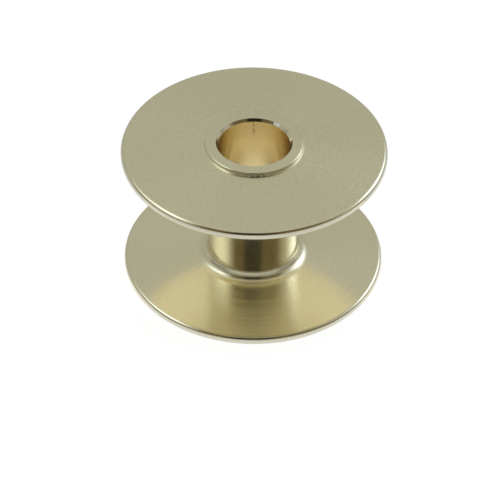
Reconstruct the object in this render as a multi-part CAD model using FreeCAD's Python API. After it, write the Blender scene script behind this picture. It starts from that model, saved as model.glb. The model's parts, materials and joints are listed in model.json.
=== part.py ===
import FreeCAD, Part
import math
import os

# A sewing machine bobbin, turned from one bar of metal: two thin round flanges on a
# plain core, a straight bore right through for the spindle, and a low raised boss
# around the bore on each end face. The outer face of each flange rises very slightly
# from the rim to the boss. The thread is wound between the flanges.
# The bobbin stands on its lower boss, with its axis along +Z and its origin at the
# centre of that boss's end face. All sizes are in millimetres.

# Driving dimensions
BORE_DIAMETER = 6.35
BORE_CHAMFER_WIDTH = 0.2
BORE_CHAMFER_DEPTH = 0.25
CORE_WALL = 0.825
CORE_FILLET_RADIUS = 1.1
WINDING_WIDTH = 11.4
FLANGE_DIAMETER = 23.55
RIM_THICKNESS = 0.8
RIM_EDGE_RADIUS = 0.34
FLANGE_RISE = 0.18
BOSS_STEP = 0.35
BOSS_HEIGHT = 0.32
BOSS_EDGE_RADIUS = 0.12
BOSS_ROOT_RADIUS = 0.08

# Two roundings on one wall may take up at most this share of it each.
ROUNDING_SHARE = 0.45

# Radii from the axis outwards
bore_radius = BORE_DIAMETER / 2
core_radius = bore_radius + CORE_WALL
boss_radius = core_radius + BOSS_STEP
flange_radius = FLANGE_DIAMETER / 2

# Heights from the middle of the winding space up to the upper end face
flange_inner = WINDING_WIDTH / 2
rim_outer = flange_inner + RIM_THICKNESS
boss_root = rim_outer + FLANGE_RISE
end_face = boss_root + BOSS_HEIGHT

# Roundings, each limited by the wall that it is cut in
rim_rounding = min(RIM_EDGE_RADIUS, ROUNDING_SHARE * RIM_THICKNESS)
boss_edge_rounding = min(BOSS_EDGE_RADIUS, ROUNDING_SHARE * BOSS_HEIGHT)
boss_root_rounding = min(BOSS_ROOT_RADIUS, ROUNDING_SHARE * BOSS_HEIGHT)
core_fillet = min(CORE_FILLET_RADIUS, ROUNDING_SHARE * WINDING_WIDTH)


def upper_corners():
    """Corners of the half section above the middle, as radius, height and rounding."""
    return [
        (bore_radius, end_face - BORE_CHAMFER_DEPTH, 0),
        (bore_radius + BORE_CHAMFER_WIDTH, end_face, 0),
        (boss_radius, end_face, boss_edge_rounding),
        (boss_radius, boss_root, boss_root_rounding),
        (flange_radius, rim_outer, rim_rounding),
        (flange_radius, flange_inner, rim_rounding),
        (core_radius, flange_inner, core_fillet),
    ]


def section_corners():
    """All corners of the half section, the lower ones mirrored from the upper ones."""
    upper = upper_corners()
    lower = [(radius, -height, rounding) for radius, height, rounding in reversed(upper)]
    return [
        (FreeCAD.Vector(radius, 0, end_face + height), rounding)
        for radius, height, rounding in upper + lower
    ]


def corner_arc(before, corner, after, rounding):
    """Start, middle and end of the arc that rounds a corner, touching both of its runs."""
    to_before = (before - corner).normalize()
    to_after = (after - corner).normalize()
    half_angle = to_before.getAngle(to_after) / 2
    setback = rounding / math.tan(half_angle)
    inwards = (to_before + to_after).normalize()
    centre_distance = rounding / math.sin(half_angle)
    return [
        corner + to_before * setback,
        corner + inwards * (centre_distance - rounding),
        corner + to_after * setback,
    ]


def section_wire(corners):
    """Closed outline through the corners: straight runs with tangent arcs between them."""
    points = [point for point, rounding in corners]
    stretches = []
    for index, (point, rounding) in enumerate(corners):
        before = points[index - 1]
        after = points[(index + 1) % len(points)]
        stretches.append(corner_arc(before, point, after, rounding) if rounding else [point])
    edges = []
    for index, stretch in enumerate(stretches):
        if len(stretch) > 1:
            edges.append(Part.Arc(*stretch).toShape())
        next_start = stretches[(index + 1) % len(stretches)][0]
        edges.append(Part.LineSegment(stretch[-1], next_start).toShape())
    return Part.Wire(edges)


def bobbin():
    """The half section turned once around the axis."""
    section = Part.Face(section_wire(section_corners()))
    return section.revolve(FreeCAD.Vector(0, 0, 0), FreeCAD.Vector(0, 0, 1), 360)


os.makedirs("parts", exist_ok=True)
shape = bobbin()
shape.exportStep("parts/bobbin.step")
print("bobbin", shape.ShapeType, "valid", shape.isValid(), "volume", round(shape.Volume, 2))
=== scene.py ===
import json
import math
import bpy
from mathutils import Matrix, Vector


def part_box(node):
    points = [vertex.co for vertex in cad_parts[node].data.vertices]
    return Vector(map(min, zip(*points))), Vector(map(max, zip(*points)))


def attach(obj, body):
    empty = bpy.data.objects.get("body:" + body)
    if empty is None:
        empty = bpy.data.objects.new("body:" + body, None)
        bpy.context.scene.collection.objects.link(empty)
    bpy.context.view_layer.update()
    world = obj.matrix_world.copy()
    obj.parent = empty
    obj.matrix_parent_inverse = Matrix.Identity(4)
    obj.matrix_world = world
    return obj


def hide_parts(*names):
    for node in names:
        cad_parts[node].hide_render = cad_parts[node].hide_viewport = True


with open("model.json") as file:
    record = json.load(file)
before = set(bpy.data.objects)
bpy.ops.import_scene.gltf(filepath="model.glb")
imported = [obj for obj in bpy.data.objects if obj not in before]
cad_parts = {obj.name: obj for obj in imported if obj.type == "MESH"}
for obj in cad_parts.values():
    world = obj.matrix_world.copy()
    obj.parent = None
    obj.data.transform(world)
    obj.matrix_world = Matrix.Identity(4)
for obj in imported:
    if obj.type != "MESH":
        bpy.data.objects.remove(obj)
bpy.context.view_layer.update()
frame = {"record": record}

# The bobbin
# One turned piece of pale champagne-coloured metal: a tube with a thin round flange at each
# end and a low raised boss around each mouth of the bore. It is cut on a lathe in one go, so
# every edge is a circle around the bore, lightly rounded, with fine tool marks on its faces.
MM = 0.001

# Sizes in millimetres, from the frame where it gives them
bobbin_low, bobbin_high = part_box("bobbin")
bore_mount = next(mount for mount in frame["record"]["mounts"] if mount["name"] == "bore")
bobbin_height = (bobbin_high.z - bobbin_low.z) / MM
flange_radius = bobbin_high.x / MM
flange_rise = 0.18
rim_thickness = 0.8
rim_rounding = 0.34
bore_radius = bore_mount["dims"]["r_mm"]
bore_chamfer_depth = (bobbin_height - bore_mount["dims"]["length_mm"]) / 2
bore_chamfer_width = 0.2
core_wall = 0.825
core_radius = bore_radius + core_wall
core_fillet = 1.1
boss_step = 0.35
boss_radius = core_radius + boss_step
boss_height = 0.32
boss_edge_rounding = 0.12
boss_root_rounding = 0.08

# Corners of the half section above the middle: radius, height, rounding and steps of the rounding
boss_steps = 6
rim_steps = 12
fillet_steps = 20
middle = bobbin_height / 2
boss_root = middle - boss_height
rim_outer = boss_root - flange_rise
flange_inner = rim_outer - rim_thickness
upper_corners = [
    (bore_radius, middle - bore_chamfer_depth, 0, 0),
    (bore_radius + bore_chamfer_width, middle, 0, 0),
    (boss_radius, middle, boss_edge_rounding, boss_steps),
    (boss_radius, boss_root, boss_root_rounding, boss_steps),
    (flange_radius, rim_outer, rim_rounding, rim_steps),
    (flange_radius, flange_inner, rim_rounding, rim_steps),
    (core_radius, flange_inner, core_fillet, fillet_steps),
]
lower_corners = [
    (radius, -rise, rounding, steps)
    for radius, rise, rounding, steps in reversed(upper_corners)
]
section = [
    (Vector((radius * MM, 0, (middle + rise) * MM)), rounding * MM, steps)
    for radius, rise, rounding, steps in upper_corners + lower_corners
]

# The section is drawn corner by corner from one point, its corners are rounded, and it is spun.
lathe_steps = 384
merge_reach = 0.001 * MM
corner_reach = 0.01 * MM
smooth_below = math.radians(30)
bpy.ops.object.select_all(action="DESELECT")
bpy.ops.mesh.primitive_plane_add(size=MM, location=section[0][0])
bobbin = bpy.context.object
bobbin.name = "bobbin_turned"
bobbin.data.name = "bobbin_turned"
bpy.ops.object.transform_apply(location=True, rotation=True, scale=True)
bpy.ops.object.mode_set(mode="EDIT")
bpy.ops.mesh.select_mode(type="VERT")
bpy.ops.mesh.select_all(action="SELECT")
bpy.ops.mesh.merge(type="CENTER")
places = [place for place, rounding, steps in section]
for here, there in zip(places, places[1:] + places[:1]):
    bpy.ops.mesh.extrude_vertices_move(TRANSFORM_OT_translate={"value": there - here})
bpy.ops.mesh.select_all(action="SELECT")
bpy.ops.mesh.remove_doubles(threshold=merge_reach)


def select_vertices_at(piece, place, reach):
    """Selects, in edit mode, the vertices of a piece that lie within reach of a place."""
    bpy.ops.mesh.select_all(action="DESELECT")
    bpy.ops.object.mode_set(mode="OBJECT")
    for vertex in piece.data.vertices:
        vertex.select = (vertex.co - place).length < reach
    bpy.ops.object.mode_set(mode="EDIT")


for place, rounding, steps in section:
    if rounding:
        select_vertices_at(bobbin, place, corner_reach)
        bpy.ops.mesh.bevel(affect="VERTICES", offset=rounding, segments=steps, profile=0.5)
bpy.ops.mesh.select_all(action="SELECT")
bpy.ops.mesh.spin(steps=lathe_steps, angle=math.tau, center=(0, 0, 0), axis=(0, 0, 1))
bpy.ops.mesh.select_all(action="SELECT")
bpy.ops.mesh.remove_doubles(threshold=merge_reach)
bpy.ops.mesh.normals_make_consistent(inside=False)
bpy.ops.object.mode_set(mode="OBJECT")
bpy.ops.object.shade_smooth_by_angle(angle=smooth_below)
bpy.ops.object.modifier_add(type="WEIGHTED_NORMAL")
bobbin.modifiers[-1].keep_sharp = True
bobbin.modifiers[-1].weight = 100
bpy.ops.object.modifier_apply(modifier=bobbin.modifiers[-1].name)


def add_node(tree, kind, inputs, **settings):
    """Adds a shader node with these settings, and fills its inputs with values or outputs."""
    node = tree.nodes.new(kind)
    for name, value in settings.items():
        setattr(node, name, value)
    for key, value in inputs.items():
        if isinstance(value, bpy.types.NodeSocket):
            tree.links.new(value, node.inputs[key])
        else:
            node.inputs[key].default_value = value
    return node


def add_math(tree, operation, first, second=0.0):
    """Adds a calculation with two values or outputs, and gives its result."""
    return add_node(tree, "ShaderNodeMath", {0: first, 1: second}, operation=operation).outputs[0]


def add_product(tree, first, *others):
    """Multiplies several values or outputs, and gives the result."""
    for other in others:
        first = add_math(tree, "MULTIPLY", first, other)
    return first


def add_remainder(tree, share):
    """Takes a share away from the whole, and gives what is left."""
    return add_math(tree, "SUBTRACT", 1.0, share)


def add_vector_math(tree, operation, inputs, result="Vector"):
    """Adds a calculation with places or directions, and gives its result."""
    return add_node(tree, "ShaderNodeVectorMath", inputs, operation=operation).outputs[result]


def add_place(tree):
    """Adds the place on a piece, in millimetres from the origin, and gives it."""
    metres = add_node(tree, "ShaderNodeTexCoord", {}).outputs["Object"]
    return add_vector_math(tree, "SCALE", {0: metres, "Scale": 1 / MM})


def add_level(tree, place):
    """Adds the part of a place or direction that is level, without its height, and gives it."""
    return add_vector_math(tree, "MULTIPLY", {0: place, 1: (1.0, 1.0, 0.0)})


def add_angle(tree, sideways, ahead):
    """Adds an angle around the axis in degrees, 0 straight ahead, and gives it."""
    return add_product(tree, add_math(tree, "ARCTAN2", sideways, ahead), math.degrees(1))


def add_step(tree, value, start, end, low=0.0, high=1.0):
    """Adds a soft step, low up to the start and high from the end on, and gives its result."""
    inputs = {"Value": value, "From Min": start, "From Max": end, "To Min": low, "To Max": high}
    return add_node(tree, "ShaderNodeMapRange", inputs, interpolation_type="SMOOTHSTEP").outputs[0]


def add_band(tree, value, centre, half_width, softness):
    """Adds a soft band around a centre, 1 inside and 0 outside, and gives its result."""
    away = add_math(tree, "ABSOLUTE", add_math(tree, "SUBTRACT", value, centre))
    return add_step(tree, away, half_width + softness, half_width)


def add_mix(tree, factor, first, second):
    """Mixes two colours by a factor, and gives the mixed colour."""
    # A Mix node repeats its sockets' names for every kind of data, so they go by number.
    FACTOR, FIRST_COLOUR, SECOND_COLOUR, MIXED_COLOUR = 0, 6, 7, 2
    inputs = {FACTOR: factor, FIRST_COLOUR: first, SECOND_COLOUR: second}
    return add_node(tree, "ShaderNodeMix", inputs, data_type="RGBA").outputs[MIXED_COLOUR]


def add_noise(tree, kind, place, scale, detail, roughness):
    """Adds even noise around 0, on a place in space or along one measure, and gives it."""
    socket = "Vector" if kind == "3D" else "W"
    inputs = {socket: place, "Scale": scale, "Detail": detail, "Roughness": roughness}
    noise = add_node(tree, "ShaderNodeTexNoise", inputs, noise_dimensions=kind).outputs[0]
    return add_math(tree, "SUBTRACT", noise, 0.5)


metal = bpy.data.materials.new("satin_turned_metal")
metal.use_nodes = True
tree = metal.node_tree

# Places on the metal, in millimetres and degrees: one angle is 0 at the front, at -Y, and the
# other at the back, and both grow towards +X.
where = add_place(tree)
axes = add_node(tree, "ShaderNodeSeparateXYZ", {0: where})
height = axes.outputs["Z"]
from_middle = add_math(tree, "ABSOLUTE", add_math(tree, "SUBTRACT", height, middle))
radius = add_vector_math(tree, "LENGTH", {0: add_level(tree, where)}, result="Value")
forwards = add_math(tree, "MULTIPLY", axes.outputs["Y"], -1.0)
angle = add_angle(tree, axes.outputs["X"], forwards)
back_angle = add_angle(tree, axes.outputs["X"], axes.outputs["Y"])

# Tool marks run round the axis, so they follow a measure that grows along the section only.
height_share = 1.37
fine_share = 0.35
along_section = add_math(tree, "ADD", add_math(tree, "MULTIPLY", height, height_share), radius)
fine_marks = add_noise(tree, "1D", along_section, scale=6.0, detail=3.0, roughness=0.75)
broad_marks = add_noise(tree, "1D", along_section, scale=1.6, detail=4.0, roughness=0.75)
marks = add_math(tree, "ADD", add_math(tree, "MULTIPLY", fine_marks, fine_share), broad_marks)
smudges = add_noise(tree, "3D", where, scale=0.22, detail=3.0, roughness=0.55)
grain = add_noise(tree, "3D", where, scale=7.0, detail=2.0, roughness=0.6)

# Zones of the metal: the bore with and without its chamfer, the burnished edges, and the core
inside_bore = add_step(tree, radius, start=bore_radius + 0.05, end=bore_radius + 0.02)
reamed = add_step(tree, radius, start=bore_radius + 0.25, end=bore_radius + 0.18)
chamfer = add_math(tree, "SUBTRACT", reamed, inside_bore)
rim_edge = add_step(tree, radius, start=flange_radius - 0.3, end=flange_radius - 0.05)
boss_edge = add_product(
    tree,
    add_band(tree, radius, centre=boss_radius - 0.04, half_width=0.09, softness=0.05),
    add_step(tree, from_middle, start=middle - 0.22, end=middle - 0.14),
)
burnished = add_math(tree, "MAXIMUM", rim_edge, boss_edge)
boss_foot = add_product(
    tree,
    add_band(tree, radius, centre=boss_radius + 0.06, half_width=0.05, softness=0.06),
    add_band(tree, from_middle, centre=boss_root, half_width=0.03, softness=0.06),
)
wound = add_product(
    tree,
    add_step(tree, from_middle, start=flange_inner, end=flange_inner - core_fillet),
    add_step(tree, radius, start=core_radius + 1.0, end=core_radius),
)

# Wear and dirt: a dark, wandering scratch and a bright score down the bore's wall, a dulled burr
# on the chamfer, and dark nicks at the boss's foot
scratch_swing = 7.0
patches = add_noise(tree, "3D", where, scale=3.2, detail=2.0, roughness=0.5)
wander = add_noise(tree, "1D", height, scale=1.4, detail=1.0, roughness=0.5)
scratch_line = add_math(tree, "ADD", back_angle, add_math(tree, "MULTIPLY", wander, scratch_swing))
scratch = add_product(
    tree,
    inside_bore,
    add_step(tree, patches, start=-0.2, end=0.12),
    add_band(tree, scratch_line, centre=-0.9, half_width=0.5, softness=1.6),
    add_band(tree, height, centre=bobbin_height - 0.85, half_width=0.5, softness=0.5),
)
score = add_product(
    tree,
    inside_bore,
    add_band(tree, angle, centre=125.0, half_width=0.5, softness=0.9),
    add_band(tree, height, centre=bobbin_height - 1.85, half_width=0.75, softness=0.4),
)
burr = add_product(tree, chamfer, add_band(tree, angle, centre=143.0, half_width=4.0, softness=3.0))
dirt = scratch
for nick_angle, nick_half_width in ((-1.5, 0.8), (4.7, 1.8), (11.0, 0.6)):
    nick = add_band(tree, angle, centre=nick_angle, half_width=nick_half_width, softness=1.2)
    dirt = add_math(tree, "MAXIMUM", dirt, add_product(tree, boss_foot, nick))

# Colour
pale_champagne = (0.85, 0.79, 0.575, 1.0)
deep_champagne = (0.77, 0.71, 0.505, 1.0)
bore_champagne = (0.85, 0.77, 0.562, 1.0)
bright_metal = (0.93, 0.89, 0.76, 1.0)
dark_grime = (0.09, 0.075, 0.045, 1.0)
marks_in_tone = 0.25
grime_cover = 0.65
tone = add_math(tree, "ADD", grain, add_math(tree, "MULTIPLY", fine_marks, marks_in_tone))
colour = add_mix(tree, add_step(tree, tone, start=-0.2, end=0.2), deep_champagne, pale_champagne)
colour = add_mix(tree, reamed, colour, bore_champagne)
colour = add_mix(tree, add_math(tree, "MAXIMUM", score, burr), colour, bright_metal)
colour = add_mix(tree, add_math(tree, "MULTIPLY", dirt, grime_cover), colour, dark_grime)

# Roughness, with what each zone adds to it or takes away
roughness = 0.2
roughness_changes = (
    (smudges, 0.08),
    (grain, 0.06),
    (burnished, -0.07),
    (reamed, -0.1),
    (inside_bore, 0.1),
    (wound, -0.06),
    (burr, 0.35),
)
for zone, change in roughness_changes:
    roughness = add_math(tree, "ADD", roughness, add_math(tree, "MULTIPLY", zone, change))

# Relief: the tool marks are shallower on the core, and the bore has none.
mark_depth = 0.0125 * MM
calm_on_core = 0.6
calm = add_math(tree, "MAXIMUM", reamed, add_math(tree, "MULTIPLY", wound, calm_on_core))
relief = add_product(tree, marks, add_remainder(tree, calm))
bump = add_node(tree, "ShaderNodeBump", {"Strength": 1.0, "Distance": mark_depth, "Height": relief})

shader = tree.nodes["Principled BSDF"]
shader.inputs["Metallic"].default_value = 1.0
shader.inputs["Anisotropic"].default_value = 0.8
shader.inputs["Anisotropic Rotation"].default_value = 0.25
tangent = add_node(tree, "ShaderNodeTangent", {}, direction_type="RADIAL", axis="Z")
tree.links.new(tangent.outputs[0], shader.inputs["Tangent"])
tree.links.new(colour, shader.inputs["Base Color"])
tree.links.new(roughness, shader.inputs["Roughness"])
tree.links.new(bump.outputs[0], shader.inputs["Normal"])
bobbin.data.materials.append(metal)
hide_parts("bobbin")
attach(bobbin, "root")

# The floor
# A plain matt white sheet that the bobbin stands on. To the eye it is white, with a faint soft
# shadow. In the metal its glow carries painted light and shade: greyer in front under painted
# light from behind, painted shade far off and around the bobbin, painted cool light in front and
# around it, a painted shadow with painted warm gold bounce light at the foot of the boss, and
# painted light where light falls through the bore.
floor_size = 6.0
matt_grey = (0.2, 0.2, 0.2, 1.0)
plain_white = (1.0, 1.0, 1.0, 1.0)
warm_white = (1.0, 0.985, 0.96, 1.0)
painted_cool_light = (0.95, 0.98, 1.1, 1.0)
painted_gold_bounce_light = (1.0, 0.85, 0.62, 1.0)
white_to_the_eye = 0.92
painted_light_in_front = 0.69
painted_light_behind = 0.95
painted_far_shade_depth = 0.18
painted_outer_shade_depth = 0.25
painted_foot_shadow_depth = 0.72
painted_bore_light_in_front = 0.7
painted_bore_light_behind = 1.0
bpy.ops.object.select_all(action="DESELECT")
bpy.ops.mesh.primitive_plane_add(size=floor_size)
floor = bpy.context.object
floor.name = "white_floor"
white = bpy.data.materials.new("white_floor")
white.use_nodes = True
tree = white.node_tree
tree.nodes.clear()

# Places on the floor, in millimetres
where = add_place(tree)
axes = add_node(tree, "ShaderNodeSeparateXYZ", {0: where})
backwards = axes.outputs["Y"]
sideways = add_math(tree, "ABSOLUTE", axes.outputs["X"])
from_axis = add_vector_math(tree, "LENGTH", {0: where}, result="Value")
# Zones beside and far behind the bobbin, where the glow in the metal gets painted shade and painted
# cool light
beside = add_product(
    tree,
    add_step(tree, sideways, start=11.0, end=15.0),
    add_step(tree, backwards, start=-5.0, end=0.0),
)
outer = add_math(tree, "MAXIMUM", beside, add_step(tree, backwards, start=26.0, end=40.0))
# Where the glow in the metal gets painted cool light: around the bobbin and in front of it
painted_cool_zone = add_math(tree, "MAXIMUM", outer, add_step(tree, backwards, start=-3.5, end=-8.0))
under_bore = add_step(tree, from_axis, start=bore_radius, end=0.8 * bore_radius)

# How bright the floor is in the metal, with its painted light and painted shade
# Painted shade: the glow in the metal falls off far from the bobbin
painted_far_shade = add_step(tree, from_axis, start=18.0, end=60.0, high=painted_far_shade_depth)
# Painted shade beside and far behind the bobbin
painted_outer_shade = add_math(tree, "MULTIPLY", outer, painted_outer_shade_depth)
# Painted shadow on the floor's glow around the foot of the boss, under the bobbin, as the metal
# sees it
painted_foot_shadow = add_step(
    tree, from_axis, start=2.0 * boss_radius, end=boss_radius, high=painted_foot_shadow_depth
)
# Painted light where light falls through the bore onto the floor under it, brighter behind
painted_bore_light = add_step(
    tree, backwards, start=-0.7 * bore_radius, end=0.5 * bore_radius,
    low=painted_bore_light_in_front, high=painted_bore_light_behind,
)
painted_bore_light = add_product(tree, under_bore, painted_bore_light)
# Painted light falling from behind: the glow in the metal is greyer in front and brighter behind
painted_glow_in_metal = add_step(
    tree, backwards, start=-20.0, end=5.0, low=painted_light_in_front, high=painted_light_behind
)
for shade in (painted_far_shade, painted_outer_shade, painted_foot_shadow):
    painted_glow_in_metal = add_product(tree, painted_glow_in_metal, add_remainder(tree, shade))
painted_glow_in_metal = add_math(tree, "MAXIMUM", painted_glow_in_metal, painted_bore_light)

# What each kind of ray meets
rays = add_node(tree, "ShaderNodeLightPath", {})
seen = rays.outputs["Is Camera Ray"]
mirrored = add_math(
    tree, "MAXIMUM", rays.outputs["Is Glossy Ray"], rays.outputs["Is Transmission Ray"]
)
strength = add_math(
    tree, "MAXIMUM",
    add_math(tree, "MULTIPLY", seen, white_to_the_eye),
    add_math(tree, "MULTIPLY", mirrored, painted_glow_in_metal),
)
# Painted warm gold bounce light in that painted shadow, outside the painted light under the bore
painted_warm_bounce_at_foot = add_product(tree, painted_foot_shadow, add_remainder(tree, painted_bore_light))
# Painted cool light in front of and around the bobbin
tint = add_mix(tree, painted_cool_zone, warm_white, painted_cool_light)
tint = add_mix(tree, painted_warm_bounce_at_foot, tint, painted_gold_bounce_light)
tint = add_mix(tree, seen, tint, plain_white)
paper = add_node(tree, "ShaderNodeBsdfDiffuse", {"Color": matt_grey})
glow = add_node(tree, "ShaderNodeEmission", {"Color": tint, "Strength": strength})
both = add_node(tree, "ShaderNodeAddShader", {0: paper.outputs[0], 1: glow.outputs[0]})
add_node(tree, "ShaderNodeOutputMaterial", {"Surface": both.outputs[0]})
floor.data.materials.append(white)

# The light
# A plain studio: a grey room, dim low down at the sides, dark in front above the table's level and
# darkest behind the camera, with a wide soft box on each side. The left box stands higher and
# leans back as it rises, and the right one stands upright and further back.
low_room = (0.45, 0.46, 0.418, 1.0)
dim_sides = (0.22, 0.22, 0.2, 1.0)
high_room = (0.53, 0.54, 0.49, 1.0)
dark_room = (0.136, 0.108, 0.057, 1.0)
darkest_room = (0.02, 0.016, 0.009, 1.0)
box_edge = 5.0
world = bpy.data.worlds.new("studio")
bpy.context.scene.world = world
world.use_nodes = True
tree = world.node_tree

# Directions: how far up and, on the level, how far back they point, from -1 to 1
direction = add_node(tree, "ShaderNodeTexCoord", {}).outputs["Generated"]
axes = add_node(tree, "ShaderNodeSeparateXYZ", {0: direction})
up = axes.outputs["Z"]
level = add_vector_math(tree, "NORMALIZE", {0: add_level(tree, direction)})
back = add_node(tree, "ShaderNodeSeparateXYZ", {0: level}).outputs["Y"]

# The room
above_table = add_product(
    tree,
    add_step(tree, up, start=0.34, end=0.48),
    add_step(tree, up, start=0.985, end=0.93),
)
front = add_product(tree, above_table, add_step(tree, back, start=0.0, end=-0.5))
behind_camera = add_product(tree, above_table, add_step(tree, back, start=-0.88, end=-0.965))
low_sides = add_product(
    tree,
    add_step(tree, up, start=0.42, end=0.15),
    add_step(tree, back, start=0.42, end=0.2),
    add_step(tree, back, start=-0.65, end=-0.35),
)
light = add_mix(tree, low_sides, low_room, dim_sides)
light = add_mix(tree, add_step(tree, up, start=0.42, end=0.8), light, high_room)
light = add_mix(tree, front, light, dark_room)
light = add_mix(tree, behind_camera, light, darkest_room)

# The soft boxes, in degrees of azimuth from the camera's side towards +X, and of elevation
forwards = add_math(tree, "MULTIPLY", axes.outputs["Y"], -1.0)
azimuth = add_angle(tree, axes.outputs["X"], forwards)
elevation = add_math(tree, "MULTIPLY", add_math(tree, "ARCSINE", up), math.degrees(1))


def add_soft_box(light, dark_front, bright_front, bright_back, dark_back, low, high, lean, colour):
    """Lays a soft box over the light, fading to the front and back, between two elevations."""
    leaning = add_math(tree, "MULTIPLY", add_math(tree, "SUBTRACT", elevation, low), lean)
    across = add_math(tree, "SUBTRACT", azimuth, leaning)
    mask = add_product(
        tree,
        add_step(tree, across, dark_front, bright_front),
        add_step(tree, across, dark_back, bright_back),
        add_step(tree, elevation, low - box_edge, low + box_edge),
        add_step(tree, elevation, high + box_edge, high - box_edge),
    )
    return add_mix(tree, mask, light, colour)


light = add_soft_box(
    light, dark_front=-38, bright_front=-82, bright_back=-95, dark_back=-148,
    low=38, high=65, lean=-0.8, colour=(1.46, 1.6, 1.73, 1.0),
)
light = add_soft_box(
    light, dark_front=85, bright_front=132, bright_back=136, dark_back=160,
    low=23, high=47, lean=0.0, colour=(2.0, 2.25, 2.75, 1.0),
)
tree.links.new(light, tree.nodes["Background"].inputs["Color"])

# The camera
# A long lens, looking down on the bobbin from the front, with a very slight roll. The flanges
# mirror each other and the core many times over, so reflections are followed a long way.
view_elevation = math.radians(41.48)
view_roll = math.radians(0.568)
view_distance = 209.1 * MM
view_aim = Vector((-0.278, 1.373, 0.1)) * MM
to_camera = Vector((0, -math.cos(view_elevation), math.sin(view_elevation)))
bpy.ops.object.camera_add(location=view_aim + view_distance * to_camera)
camera = bpy.context.object
camera.data.sensor_width = 36.0
camera.data.lens = 162.87
camera.data.clip_start = 0.001
turn = Matrix.Rotation(math.pi / 2 - view_elevation, 4, "X") @ Matrix.Rotation(view_roll, 4, "Z")
camera.matrix_world = Matrix.Translation(camera.location) @ turn
bpy.context.scene.camera = camera
bpy.context.scene.view_settings.view_transform = "Standard"
bpy.context.scene.cycles.glossy_bounces = 12
